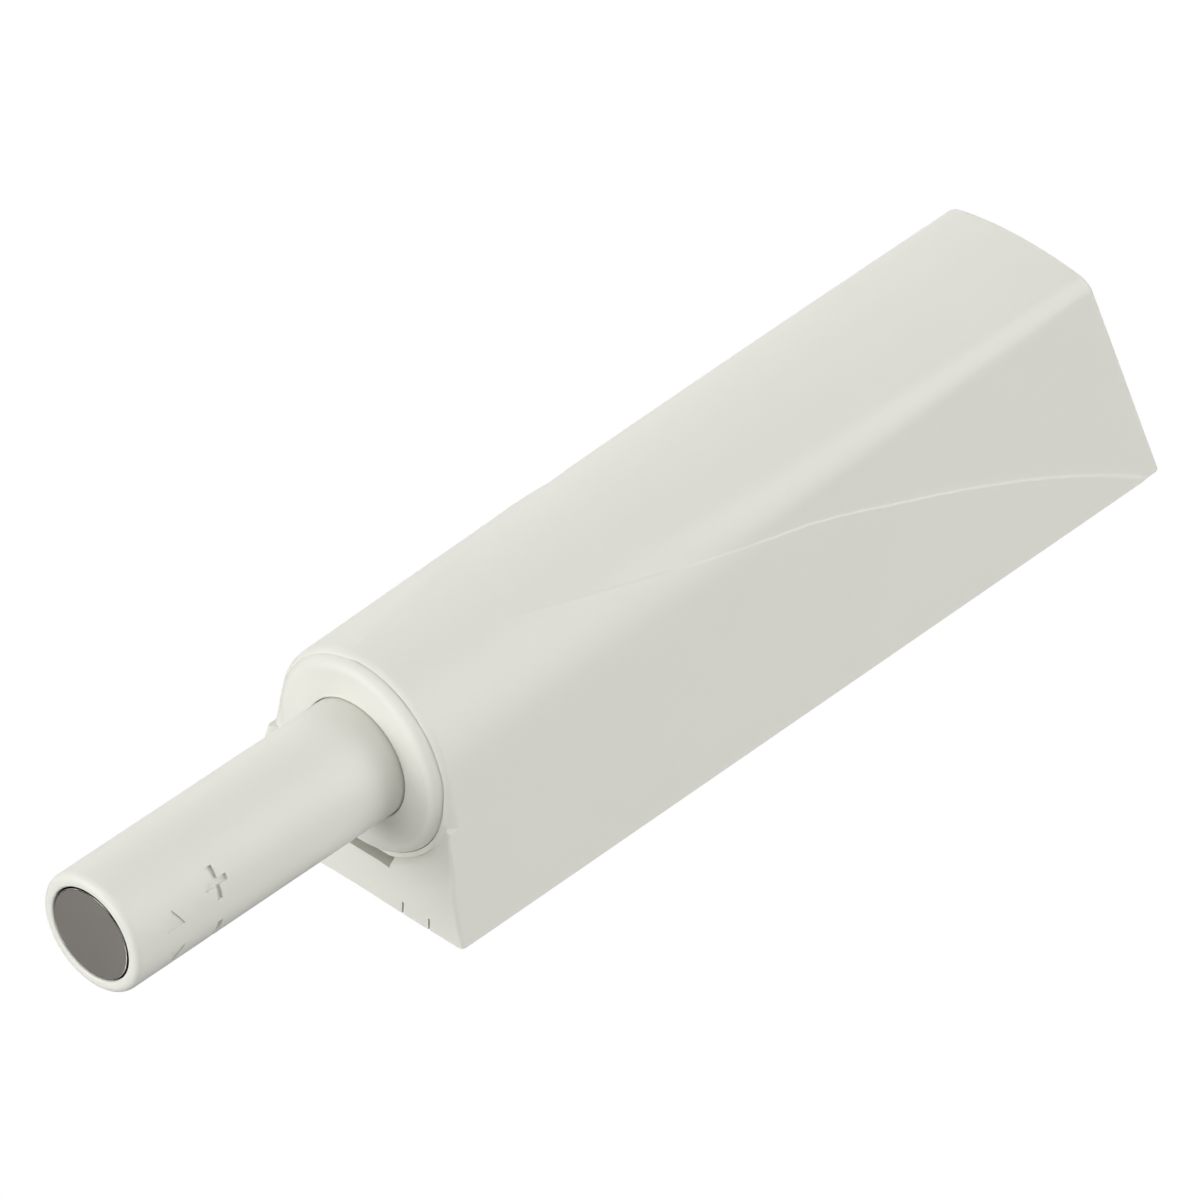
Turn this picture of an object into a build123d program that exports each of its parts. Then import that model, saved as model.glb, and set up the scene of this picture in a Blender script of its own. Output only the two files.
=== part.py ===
"""Push to open catch: a magnetic plunger in a sprung latching cartridge, held in a screw-down housing.

Frame: origin midway between the two screw holes, on the mounting face. +Z points away from the panel, -Y is the way
the plunger comes out, +X is to the right seen along +Y. Millimetres. A distance called "d" is measured rearwards from
the tip of the plunger when it is fully out.
"""

import math
import os

from build123d import *

os.makedirs("parts", exist_ok=True)

# ---------------------------------------------------------------- driving dimensions
TIP_Y = -54.0  # tip of the plunger, from the origin
AXIS_Z = 9.5  # plunger axis above the mounting face

# housing
D_RIM = 22.78  # front of the rounded rim that arches over the collar
D_RING = 22.87  # front face of the ring under the collar
D_FOOT = 21.8  # front edge of the housing on the mounting face
D_SHOULDER = 22.33  # front of the foot at the height of its shoulders
D_REAR = 85.95  # rear edge of the housing on the mounting face
REAR_LEAN = 0.237  # the rear face leans forward by this much per mm of height
HALF_BASE = 9.1  # half the housing's width on the mounting face
SHOULDER_Z = 7.7  # where the round front gives way to the foot
ARCH_R = 7.05  # outer radius of the housing's round front
RIM_ROUND = 0.65
RING_R = 7.07  # outer radius of the ring under the collar
# the dish round that ring: (distance behind the tip, radius), a concave arc out to the foot's front
DISH = [(23.05, RING_R), (22.23, 8.1), (21.87, 9.35)]
STEP = 0.07  # the lower form stands this much proud of the upper form
WALL_REAR = 1.3
COLLAR_SEAT_R = 6.75  # counterbore that takes the collar
D_COLLAR_SEAT = 24.05
D_FRONT_WALL = 25.0  # back of the housing's front wall
BARREL_HOLE_R = 5.05

# cartridge
BARREL_R = 5.0  # also goes in a 10 mm drilled hole
BORE_R = 4.12
MOUTH_R = 4.06  # the bore's mouth, closer to the plunger
D_MOUTH = 24.5
COLLAR_R = 6.70
COLLAR_FIT_R = 6.73  # the collar where it sits in the housing
D_COLLAR_FIT = 23.1
COLLAR_ROUND = 0.75
D_COLLAR = 22.25
D_FLANGE = 24.0
D_BARREL_END = 80.0
D_SLOT = 33.4
SLOT_W = 1.4  # side slots for the carriage's keys
D_GROOVE = 25.5
GROOVE_W = 1.1  # top and bottom grooves for the guide ring's keys
GROOVE_R = 4.6

# plunger
TUBE_R = 4.0
TUBE_BORE_R = 2.86
D_TUBE_END = 31.2
MAGNET_R = 3.13
MAGNET_FACE_R = 2.95  # the magnet's face, in a narrow groove
D_MAGNET = 0.04
D_MAGNET_STEP = 0.50
D_DISC = 3.40
D_DISC_END = 4.20
RING_D = (28.7, 30.3)
MARK_DEPTH = 0.22

# carriage
NOSE_R = 2.80
D_NOSE = 17.0
D_BODY = 33.2
D_BODY_END = 58.0
BODY_R = 4.05
KEY_R = 4.78
KEY_W = 1.2
FLAT_Z = 2.2  # flat on the carriage above its axis
TRACK_Z = 1.25  # bottom of the cam track above the axis
ISLAND_HALF = 0.70
TRACK_HALF = 1.70
POCKET_R = 2.15
SPRING_Z = -1.35  # spring axis above the plunger axis
D_POCKET = 36.0

# end cap, follower, spring
D_CAP = 77.3
D_CAP_END = 81.0
D_PIVOT = 78.8
D_FOLLOWER_TIP = 55.5
WIRE_R = 0.40
PIN_HOLE_R = 0.46
SPRING_R = 1.75
SPRING_WIRE_R = 0.25
SPRING_TURNS = 20

# mounting plate
PLATE_T = 2.6
HOLE_SPACING = 32.0
HOLE_R = 1.9
HEAD_R = 3.5
HALF_PLATE = 7.66
D_PLATE = 25.15
D_PLATE_END = 83.5
SADDLE_R = 5.03
SADDLE_TOP = 7.3


def back(d):
    """Y of a point d millimetres behind the plunger's tip."""
    return TIP_Y + d


def at(d):
    """Plane across the axis, d behind the tip: local x is +X, local y is +Z; extruding by -L goes rearwards."""
    return Plane.XZ.offset(-back(d))


def rad(d, r):
    """Point of a profile turned about the plunger's axis, on the YZ plane."""
    return (back(d), AXIS_Z + r)


def side(half, x0):
    """Outward normal of a side that runs from half at the mounting face to x0 at the height of the axis."""
    lean = math.atan((half - x0) / AXIS_Z)
    return math.cos(lean), math.sin(lean)


def arc_points(cx, cz, r, u, v):
    """Start, middle and end of an arc about (cx, cz) from direction u to direction v, heights above the axis."""
    m = (u[0] + v[0], u[1] + v[1])
    k = math.hypot(*m)
    return [(cx + r * n[0], AXIS_Z + cz + r * n[1]) for n in (u, (m[0] / k, m[1] / k), v)]


def arched(half, x0, lift):
    """Round cross-section: sides that run tangent into one circle centred lift above the axis."""
    n = side(half, x0)
    r = x0 * n[0] - lift * n[1]
    return half, arc_points(0, lift, r, n, (0.5, math.sqrt(0.75))), AXIS_Z + lift + r


def crowned(half, x0, top, crown_r, corner_r):
    """Wedge cross-section: sides, tangent corners and a slightly crowned top."""
    n = side(half, x0)
    kz = top - crown_r
    reach = x0 * n[0] - corner_r
    t = (-n[1], n[0])
    b = 2 * (t[0] * reach * n[0] + t[1] * (reach * n[1] - kz))
    c = (reach * n[0]) ** 2 + (reach * n[1] - kz) ** 2 - (crown_r - corner_r) ** 2
    s = (-b + math.sqrt(b * b - 4 * c)) / 2
    cx, cz = reach * n[0] + s * t[0], reach * n[1] + s * t[1]
    u = (cx / (crown_r - corner_r), (cz - kz) / (crown_r - corner_r))
    return half, arc_points(cx, cz, corner_r, n, u), AXIS_Z + top


UPPER = [
    (21.0, arched(HALF_BASE, 7.115, 0.0)),
    (46.0, crowned(HALF_BASE, 7.160, 6.87, 11.0, 3.95)),
    (87.0, crowned(HALF_BASE, 7.055, 6.505, 24.5, 1.27)),
]
LOWER = [
    (21.0, arched(HALF_BASE + STEP, 7.196, 0.0)),
    (46.0, arched(HALF_BASE + STEP, 7.232, 1.18)),
    (87.0, arched(HALF_BASE + STEP, 7.125, 2.60)),
]
CAVITY = [
    (D_FRONT_WALL, arched(7.85, 5.97, 0.0)),
    (46.0, crowned(7.85, 5.92, 5.60, 9.8, 2.8)),
    (87.0, crowned(7.85, 5.80, 5.20, 23.0, 0.6)),
]
# the step line seen from the side: distance behind the tip, height above the axis
STEP_LINE = [
    (20.5, 7.02),
    (26.5, 6.72),
    (33.0, 6.28),
    (38.9, 5.60),
    (45.0, 4.57),
    (51.4, 3.22),
    (56.2, 2.08),
    (62.5, 0.02),
    (68.2, -1.94),
    (73.3, -3.90),
    (79.0, -6.44),
    (84.3, -9.25),
    (88.0, -11.4),
]

# ---------------------------------------------------------------- forms the housing is made of
with BuildPart() as upper_form:  # round at the front, flat-topped at the rear
    for d, (half, (a, b, c), top) in UPPER:
        with BuildSketch(at(d)):
            with BuildLine():
                Line((half, 0), a)
                ThreePointArc(a, b, c)
                ThreePointArc(c, (0, top), (-c[0], c[1]))
                ThreePointArc((-c[0], c[1]), (-b[0], b[1]), (-a[0], a[1]))
                Line((-a[0], a[1]), (-half, 0))
                Line((-half, 0), (half, 0))
            make_face()
    loft()
    split(
        bisect_by=Plane(origin=(0, back(D_REAR), 0), z_dir=(0, 1, REAR_LEAN)),
        keep=Keep.BOTTOM,
    )
    rear_edges = [
        e
        for e in upper_form.edges()
        if all(
            abs((e @ t).Y - back(D_REAR) + REAR_LEAN * (e @ t).Z) < 0.01
            for t in (0, 0.5, 1)
        )
        and (e @ 0.5).Z > 0.1
    ]
    fillet(rear_edges, radius=0.6)

with BuildPart() as lower_form:  # stays round; kept below the step line only
    for d, (half, (a, b, c), top) in LOWER:
        with BuildSketch(at(d)):
            with BuildLine():
                Line((half, 0), a)
                ThreePointArc(a, b, c)
                ThreePointArc(c, (0, top), (-c[0], c[1]))
                ThreePointArc((-c[0], c[1]), (-b[0], b[1]), (-a[0], a[1]))
                Line((-a[0], a[1]), (-half, 0))
                Line((-half, 0), (half, 0))
            make_face()
    loft()
    with BuildSketch(Plane.YZ):
        with BuildLine():
            steps = [(back(d), AXIS_Z + h) for d, h in STEP_LINE]
            Spline(*steps)
            Polyline(steps[-1], (steps[-1][0], -8), (steps[0][0], -8), steps[0])
        make_face()
    extrude(amount=14, both=True, mode=Mode.INTERSECT)

with BuildPart() as hollow:
    for d, (half, (a, b, c), top) in CAVITY:
        with BuildSketch(at(d)):
            with BuildLine():
                Line((half, 0), a)
                ThreePointArc(a, b, c)
                ThreePointArc(c, (0, top), (-c[0], c[1]))
                ThreePointArc((-c[0], c[1]), (-b[0], b[1]), (-a[0], a[1]))
                Line((-a[0], a[1]), (-half, 0))
                Line((-half, 0), (half, 0))
            make_face()
    loft()
    split(
        bisect_by=Plane(
            origin=(0, back(D_REAR - WALL_REAR), 0), z_dir=(0, 1, REAR_LEAN)
        ),
        keep=Keep.BOTTOM,
    )

# rounding of the arch's front edge: round the arch, then straight down both sides as far as the shoulders
ROUND_PROFILE = [
    (D_RIM - 2.0, ARCH_R - RIM_ROUND),
    (D_RIM, ARCH_R - RIM_ROUND),
    (
        D_RIM + RIM_ROUND * (1 - math.sqrt(0.5)),
        ARCH_R - RIM_ROUND + RIM_ROUND * math.sqrt(0.5),
    ),
    (D_RIM + RIM_ROUND, ARCH_R),
    (D_RIM + RIM_ROUND, ARCH_R + 1.5),
    (D_RIM - 2.0, ARCH_R + 1.5),
]
LEAN = math.atan((HALF_BASE + STEP - 7.196) / AXIS_Z)
SIDE_PLANE = Plane(
    origin=(0, 0, AXIS_Z),
    x_dir=(0, 1, 0),
    z_dir=(math.sin(LEAN), 0, -math.cos(LEAN)),
)
with BuildPart() as rim_round:
    with BuildSketch(SIDE_PLANE) as round_profile:
        with BuildLine():
            p = [(back(d), r) for d, r in ROUND_PROFILE]
            Line(p[0], p[1])
            ThreePointArc(p[1], p[2], p[3])
            Polyline(p[3], p[4], p[5], p[0])
        make_face()
    extrude(amount=5)
    mirror(about=Plane.YZ)
    add(round_profile.sketch)
    revolve(
        axis=Axis((0, 0, AXIS_Z), (0, -1, 0)),
        revolution_arc=180 - 2 * math.degrees(LEAN),
    )
    with Locations((0, back(20), SHOULDER_Z)):
        Box(
            30,
            30,
            20,
            align=(Align.CENTER, Align.CENTER, Align.MAX),
            mode=Mode.SUBTRACT,
        )

# the foot's front: cut back to the ring's face inside, and dished round the ring
with BuildPart() as foot_cut:
    with BuildSketch(Plane.YZ):
        with BuildLine():
            dish = [rad(*p) for p in DISH]
            Polyline(
                dish[2],
                rad(15, DISH[2][1]),
                rad(15, 0),
                rad(D_RING, 0),
                rad(D_RING, RING_R),
                dish[0],
            )
            ThreePointArc(*dish)
        make_face()
    revolve(axis=Axis((0, 0, AXIS_Z), (0, 1, 0)), revolution_arc=360)
    with Locations((0, back(20), SHOULDER_Z)):
        Box(
            30,
            30,
            20,
            align=(Align.CENTER, Align.CENTER, Align.MIN),
            mode=Mode.SUBTRACT,
        )

with BuildPart() as front_cut:
    with BuildSketch(Plane.YZ):
        with BuildLine():
            slope = (D_SHOULDER - D_FOOT) / SHOULDER_Z
            Polyline(
                (back(10), 30),
                (back(D_RIM), 30),
                (back(D_RIM), SHOULDER_Z),
                (back(D_SHOULDER), SHOULDER_Z),
                (back(D_FOOT - 3 * slope), -3),
                (back(10), -3),
                close=True,
            )
        make_face()
    extrude(amount=20, both=True)
    add(rim_round.part)
    add(foot_cut.part)

# ribs across the hollow that hold the barrel down
with BuildPart() as hold_down_ribs:
    for d in (40.0, 68.0):
        with BuildSketch(at(d)):
            with Locations((0, AXIS_Z - 3.0)):
                Rectangle(20, 20, align=(Align.CENTER, Align.MIN))
        extrude(amount=-1.2)
    add(upper_form.part, mode=Mode.INTERSECT)
    with Locations(Pos(0, 0, AXIS_Z) * Rot(90, 0, 0)):
        Cylinder(BARREL_HOLE_R, 200, mode=Mode.SUBTRACT)

with BuildPart() as cover_housing:
    add(upper_form.part)
    add(lower_form.part)
    add(front_cut.part, mode=Mode.SUBTRACT)
    add(hollow.part, mode=Mode.SUBTRACT)
    add(hold_down_ribs.part)
    # seat of the collar and hole for the barrel
    with BuildSketch(at(15)):
        with Locations((0, AXIS_Z)):
            Circle(COLLAR_SEAT_R)
    extrude(amount=-(D_COLLAR_SEAT - 15), mode=Mode.SUBTRACT)
    with BuildSketch(at(15)):
        with Locations((0, AXIS_Z)):
            Circle(BARREL_HOLE_R)
    extrude(amount=-(D_FRONT_WALL + 0.5 - 15), mode=Mode.SUBTRACT)
    # slot under the collar, and four slits in the front edge of the foot
    with BuildSketch(at(15)):
        with Locations((0, AXIS_Z - 7.25)):
            Rectangle(5.2, 0.55, align=(Align.CENTER, Align.MIN))
    extrude(amount=-(24.4 - 15), mode=Mode.SUBTRACT)
    with BuildSketch(at(15)):
        with Locations((-6.4, 0), (-4.2, 0), (4.2, 0), (6.4, 0)):
            Rectangle(0.14, 1.7)
    extrude(amount=-12, mode=Mode.SUBTRACT)
    # beads that snap over the mounting plate
    for x in (-1, 1):
        for d in (40.0, 70.0):
            with BuildSketch(at(d - 2.5)):
                with BuildLine():
                    Polyline(
                        (x * 7.95, 0.35),
                        (x * 7.35, 0.55),
                        (x * 7.35, 0.75),
                        (x * 7.90, 1.10),
                        close=True,
                    )
                make_face()
            extrude(amount=-5.0)
cover_housing.part.label = "cover_housing"
export_step(cover_housing.part, "parts/cover_housing.step")

# ---------------------------------------------------------------- mounting plate, screwed down under the housing
with BuildPart() as mounting_plate:
    with BuildSketch(at(D_PLATE)):
        with BuildLine():
            h = HALF_PLATE - 0.21 * PLATE_T
            Polyline(
                (-HALF_PLATE, 0), (HALF_PLATE, 0), (h, PLATE_T), (-h, PLATE_T), close=True
            )
        make_face()
    extrude(amount=-(D_PLATE_END - D_PLATE))
    upright = [
        e
        for e in mounting_plate.edges()
        if abs((e @ 0).Z - (e @ 1).Z) > 1 and abs((e @ 0.5).X) > 6
    ]
    fillet(upright, radius=0.8)
    # pockets for the housing's beads
    with Locations(
        *[(x * 7.9, back(d), 0.72) for x in (-1, 1) for d in (40.0, 70.0)]
    ):
        Box(1.5, 5.6, 1.1, mode=Mode.SUBTRACT)
    # saddles that carry the barrel, and a post behind its end cap
    for d, length in ((27.5, 3.0), (52.5, 3.0), (77.0, 2.6)):
        with BuildSketch(at(d)):
            with Locations((0, PLATE_T - 0.5)):
                Rectangle(
                    8.4, SADDLE_TOP - PLATE_T + 0.5, align=(Align.CENTER, Align.MIN)
                )
        extrude(amount=-length)
    with BuildSketch(at(81.15)):
        with Locations((0, PLATE_T - 0.5)):
            Rectangle(6.0, 6.5 - PLATE_T + 0.5, align=(Align.CENTER, Align.MIN))
    extrude(amount=-1.25)
    with BuildSketch(at(20)):
        with Locations((0, AXIS_Z)):
            Circle(SADDLE_R)
    extrude(amount=-(81.1 - 20), mode=Mode.SUBTRACT)
    # screw holes, countersunk from above
    with Locations((0, -HOLE_SPACING / 2, PLATE_T), (0, HOLE_SPACING / 2, PLATE_T)):
        CounterSinkHole(HOLE_R, HEAD_R, depth=PLATE_T, counter_sink_angle=90)
mounting_plate.part.label = "mounting_plate"
export_step(mounting_plate.part, "parts/mounting_plate.step")

# ---------------------------------------------------------------- cartridge barrel with its collar
with BuildPart() as cartridge_barrel:
    with BuildSketch(Plane.YZ):
        with BuildLine():
            q = COLLAR_ROUND
            k = 1 - math.sqrt(0.5)
            i = 0.12
            Polyline(
                rad(D_BARREL_END, BORE_R),
                rad(D_BARREL_END, BARREL_R),
                rad(D_FLANGE, BARREL_R),
                rad(D_FLANGE, COLLAR_FIT_R),
                rad(D_COLLAR_FIT + 0.05, COLLAR_FIT_R),
                rad(D_COLLAR_FIT, COLLAR_R),
                rad(D_COLLAR + q, COLLAR_R),
            )
            ThreePointArc(
                rad(D_COLLAR + q, COLLAR_R),
                rad(D_COLLAR + q * k, COLLAR_R - q * k),
                rad(D_COLLAR, COLLAR_R - q),
            )
            Line(rad(D_COLLAR, COLLAR_R - q), rad(D_COLLAR, MOUTH_R + i))
            ThreePointArc(
                rad(D_COLLAR, MOUTH_R + i),
                rad(D_COLLAR + i * k, MOUTH_R + i * k),
                rad(D_COLLAR + i, MOUTH_R),
            )
            Polyline(
                rad(D_COLLAR + i, MOUTH_R),
                rad(D_MOUTH, MOUTH_R),
                rad(D_MOUTH + 0.06, BORE_R),
                rad(D_BARREL_END, BORE_R),
            )
        make_face()
    revolve(axis=Axis((0, 0, AXIS_Z), (0, 1, 0)), revolution_arc=360)
    # side slots for the carriage's keys
    with BuildSketch(at(D_SLOT)):
        with Locations((0, AXIS_Z)):
            Rectangle(14, SLOT_W)
    extrude(amount=-(D_BARREL_END + 1 - D_SLOT), mode=Mode.SUBTRACT)
    # grooves for the guide ring's keys
    with BuildSketch(at(D_GROOVE)):
        with Locations((0, AXIS_Z)):
            Rectangle(GROOVE_W, 2 * GROOVE_R)
    extrude(amount=-(D_BARREL_END + 1 - D_GROOVE), mode=Mode.SUBTRACT)
cartridge_barrel.part.label = "cartridge_barrel"
export_step(cartridge_barrel.part, "parts/cartridge_barrel.step")

# ---------------------------------------------------------------- engraved marks on the plunger
# angles from the top towards +X; plus and minus show which way to turn the plunger, with a triangle beside each
with BuildPart() as tube_marks:
    # each bar: angle, distance behind the tip, half length along the axis, half width round the tube
    for angle, d, along, across in (
        (63.0, 7.1, 0.90, 0.22),
        (63.0, 7.1, 0.22, 1.10),
        (118.5, 7.1, 0.22, 1.10),
    ):
        g = math.radians(angle)
        radial = Plane(
            origin=(0, back(d), AXIS_Z),
            x_dir=(0, 1, 0),
            z_dir=(math.sin(g), 0, math.cos(g)),
        )
        # bars drawn flat on a plane against the tube's skin
        with BuildSketch(radial.offset(2.6)):
            Rectangle(2 * along, 2 * across)
        extrude(amount=2.0)
    for tip_angle, base_angle in ((60.6, 79.0), (120.4, 102.0)):
        mid = math.radians((tip_angle + base_angle) / 2)
        s = (TUBE_R - MARK_DEPTH) * math.radians(abs(tip_angle - base_angle)) / 2
        radial = Plane(
            origin=(0, back(3.47), AXIS_Z),
            x_dir=(0, 1, 0),
            z_dir=(math.sin(mid), 0, math.cos(mid)),
        )
        # local y of this plane points towards the top of the tube on the +X side
        w = s * (1 if tip_angle < base_angle else -1)
        with BuildSketch(radial.offset(2.6)):
            with BuildLine():
                Polyline((0, w), (-0.75, -w), (0.75, -w), close=True)
            make_face()
        extrude(amount=2.0)
    with Locations(Pos(0, 0, AXIS_Z) * Rot(90, 0, 0)):
        Cylinder(TUBE_R - MARK_DEPTH, 200, mode=Mode.SUBTRACT)

# ---------------------------------------------------------------- plunger tube
with BuildPart() as plunger_tube:
    with BuildSketch(Plane.YZ):
        with BuildLine():
            q, k, i = 0.50, 1 - math.sqrt(0.5), 0.10
            r_in = MAGNET_R + 0.06
            ThreePointArc(
                rad(q, TUBE_R), rad(q * k, TUBE_R - q * k), rad(0, TUBE_R - q)
            )
            Line(rad(0, TUBE_R - q), rad(0, r_in + i))
            ThreePointArc(
                rad(0, r_in + i), rad(i * k, r_in + i * k), rad(i, r_in)
            )
            Polyline(
                rad(i, r_in),
                rad(D_DISC_END, r_in),
                rad(D_DISC_END, TUBE_BORE_R),
                rad(D_TUBE_END, TUBE_BORE_R),
                rad(D_TUBE_END, 3.85),
                rad(RING_D[1] + 0.1, 3.85),
                rad(RING_D[1] + 0.1, 3.50),
                rad(RING_D[0] - 0.1, 3.50),
                rad(RING_D[0] - 0.1, TUBE_R),
                rad(q, TUBE_R),
            )
        make_face()
    revolve(axis=Axis((0, 0, AXIS_Z), (0, 1, 0)), revolution_arc=360)
    add(tube_marks.part, mode=Mode.SUBTRACT)
plunger_tube.part.label = "plunger_tube"
export_step(plunger_tube.part, "parts/plunger_tube.step")

# ---------------------------------------------------------------- magnet in the tip, and the steel disc behind it
with BuildPart() as tip_magnet:
    with BuildSketch(at(D_MAGNET)):
        with Locations((0, AXIS_Z)):
            Circle(MAGNET_FACE_R)
    extrude(amount=-(D_MAGNET_STEP - D_MAGNET))
    with BuildSketch(at(D_MAGNET_STEP)):
        with Locations((0, AXIS_Z)):
            Circle(MAGNET_R)
    extrude(amount=-(D_DISC - D_MAGNET_STEP))
    fillet(tip_magnet.edges().sort_by(Axis.Y)[0], radius=0.09)
tip_magnet.part.label = "tip_magnet"
export_step(tip_magnet.part, "parts/tip_magnet.step")

with BuildPart() as magnet_backing_disc:
    with BuildSketch(at(D_DISC)):
        with Locations((0, AXIS_Z)):
            Circle(MAGNET_R)
    extrude(amount=-(D_DISC_END - D_DISC))
magnet_backing_disc.part.label = "magnet_backing_disc"
export_step(magnet_backing_disc.part, "parts/magnet_backing_disc.step")

# ---------------------------------------------------------------- guide ring: split, keyed to the barrel
with BuildPart() as guide_ring:
    with BuildSketch(at(RING_D[0])):
        with Locations((0, AXIS_Z)):
            Circle(4.05)
            Rectangle(0.9, 9.0)
            Circle(3.56, mode=Mode.SUBTRACT)
        with Locations((-4, AXIS_Z)):
            Rectangle(3, 1.2, mode=Mode.SUBTRACT)
    extrude(amount=-(RING_D[1] - RING_D[0]))
guide_ring.part.label = "guide_ring"
export_step(guide_ring.part, "parts/guide_ring.step")

# ---------------------------------------------------------------- slide carriage: nose, keyed body, latch track, spring pocket
with BuildPart() as slide_carriage:
    with BuildSketch(Plane.YZ):
        with BuildLine():
            Polyline(
                rad(D_NOSE, 0),
                rad(D_NOSE, NOSE_R - 0.4),
                rad(D_NOSE + 0.4, NOSE_R),
                rad(D_BODY, NOSE_R),
                rad(D_BODY, BODY_R - 0.3),
                rad(D_BODY + 0.3, BODY_R),
                rad(D_BODY_END, BODY_R),
                rad(D_BODY_END, 0),
                close=True,
            )
        make_face()
    revolve(axis=Axis((0, 0, AXIS_Z), (0, 1, 0)), revolution_arc=360)
    # flat on top of the body
    with Locations((0, back(D_BODY), AXIS_Z + FLAT_Z)):
        Box(
            12,
            D_BODY_END - D_BODY + 1,
            6,
            align=(Align.CENTER, Align.MIN, Align.MIN),
            mode=Mode.SUBTRACT,
        )
    # keys that run in the barrel's slots
    with Locations((0, back(33.5), AXIS_Z)):
        Box(2 * KEY_R, 8.5, KEY_W, align=(Align.CENTER, Align.MIN, Align.CENTER))
    # latch track: a trough with two lanes round the island, open at the rear
    with BuildSketch(Plane.XY.offset(AXIS_Z + TRACK_Z)):
        with BuildLine():
            t = TRACK_HALF
            Polyline(
                (-t, back(35.9)),
                (-t + 0.6, back(35.3)),
                (t - 0.6, back(35.3)),
                (t, back(35.9)),
                (t, back(D_BODY_END + 1)),
                (-t, back(D_BODY_END + 1)),
                close=True,
            )
        make_face()
    extrude(amount=3, mode=Mode.SUBTRACT)
    with BuildSketch(Plane.XY.offset(AXIS_Z + TRACK_Z)):
        with BuildLine():
            s = ISLAND_HALF
            Polyline(
                (-s, back(39.9)),
                (-0.45, back(39.3)),
                (0, back(40.1)),
                (0.45, back(39.3)),
                (s, back(39.9)),
                (s, back(51.5)),
                (-s, back(53.2)),
                close=True,
            )
        make_face()
    extrude(amount=FLAT_Z - TRACK_Z)
    # pocket for the main spring
    with BuildSketch(at(D_BODY_END + 1)):
        with Locations((0, AXIS_Z + SPRING_Z)):
            Circle(POCKET_R)
    extrude(amount=D_BODY_END + 1 - D_POCKET, mode=Mode.SUBTRACT)
slide_carriage.part.label = "slide_carriage"
export_step(slide_carriage.part, "parts/slide_carriage.step")

# ---------------------------------------------------------------- end cap of the barrel
with BuildPart() as barrel_end_cap:
    with BuildSketch(at(D_CAP)):
        with Locations((0, AXIS_Z)):
            Circle(4.08)
            Rectangle(9.9, 1.3)
    extrude(amount=-(D_BARREL_END - D_CAP))
    with BuildSketch(at(D_BARREL_END)):
        with Locations((0, AXIS_Z)):
            Circle(BARREL_R)
    extrude(amount=-(D_CAP_END - D_BARREL_END))
    # spigot inside the spring
    with BuildSketch(at(71.3)):
        with Locations((0, AXIS_Z + SPRING_Z)):
            Circle(1.3)
    extrude(amount=-(D_CAP - 71.3))
    # recess for the follower's arm, hole for its pivot and slot for its leaf spring
    with Locations((0, back(D_CAP), AXIS_Z + 2.55)):
        Box(
            2.6,
            79.4 - D_CAP,
            2.0,
            align=(Align.CENTER, Align.MIN, Align.MIN),
            mode=Mode.SUBTRACT,
        )
    with BuildSketch(Plane.XY.offset(AXIS_Z + 1.3)):
        with Locations((0, back(D_PIVOT))):
            Circle(PIN_HOLE_R)
    extrude(amount=2.0, mode=Mode.SUBTRACT)
    with Locations((0, back(79.0), AXIS_Z + 3.50)):
        Box(
            1.84,
            1.1,
            0.26,
            align=(Align.CENTER, Align.MIN, Align.MIN),
            mode=Mode.SUBTRACT,
        )
barrel_end_cap.part.label = "barrel_end_cap"
export_step(barrel_end_cap.part, "parts/barrel_end_cap.step")

# ---------------------------------------------------------------- latch follower: bent wire
with BuildPart() as latch_follower:
    with BuildLine() as wire_path:
        FilletPolyline(
            (0, back(D_PIVOT), AXIS_Z + 1.45),
            (0, back(D_PIVOT), AXIS_Z + 3.0),
            (-1.2, back(D_FOLLOWER_TIP), AXIS_Z + 3.0),
            (-1.2, back(D_FOLLOWER_TIP), AXIS_Z + 1.40),
            radius=0.6,
        )
    with BuildSketch(Plane(origin=(0, back(D_PIVOT), AXIS_Z + 1.45), z_dir=(0, 0, 1))):
        Circle(WIRE_R)
    sweep(path=wire_path.wires()[0])
latch_follower.part.label = "latch_follower"
export_step(latch_follower.part, "parts/latch_follower.step")

# ---------------------------------------------------------------- leaf spring that keeps the follower's tip down
with BuildPart() as follower_spring:
    with BuildSketch(Plane.YZ):
        with BuildLine():
            t = 0.18
            lower = [(80.0, 3.55), (77.0, 3.55), (63.0, 3.43), (62.0, 3.52)]
            Polyline(
                *[rad(d, h) for d, h in lower],
                *[rad(d, h + t) for d, h in reversed(lower)],
                close=True,
            )
        make_face()
    extrude(amount=0.9, both=True)
follower_spring.part.label = "follower_spring"
export_step(follower_spring.part, "parts/follower_spring.step")

# ---------------------------------------------------------------- main compression spring
with BuildPart() as main_spring:
    length = D_CAP - D_POCKET - 2 * SPRING_WIRE_R - 0.04
    with BuildLine() as coil:
        Helix(
            pitch=length / SPRING_TURNS,
            height=length,
            radius=SPRING_R,
            center=(0, back(D_POCKET) + SPRING_WIRE_R + 0.02, AXIS_Z + SPRING_Z),
            direction=(0, 1, 0),
        )
    with BuildSketch(Plane(origin=coil.line @ 0, z_dir=coil.line % 0)):
        Circle(SPRING_WIRE_R)
    sweep(path=coil.line, is_frenet=True)
main_spring.part.label = "main_spring"
export_step(main_spring.part, "parts/main_spring.step")
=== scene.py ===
import math

import bmesh
import bpy
import numpy as np
from mathutils import Matrix, Vector


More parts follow.
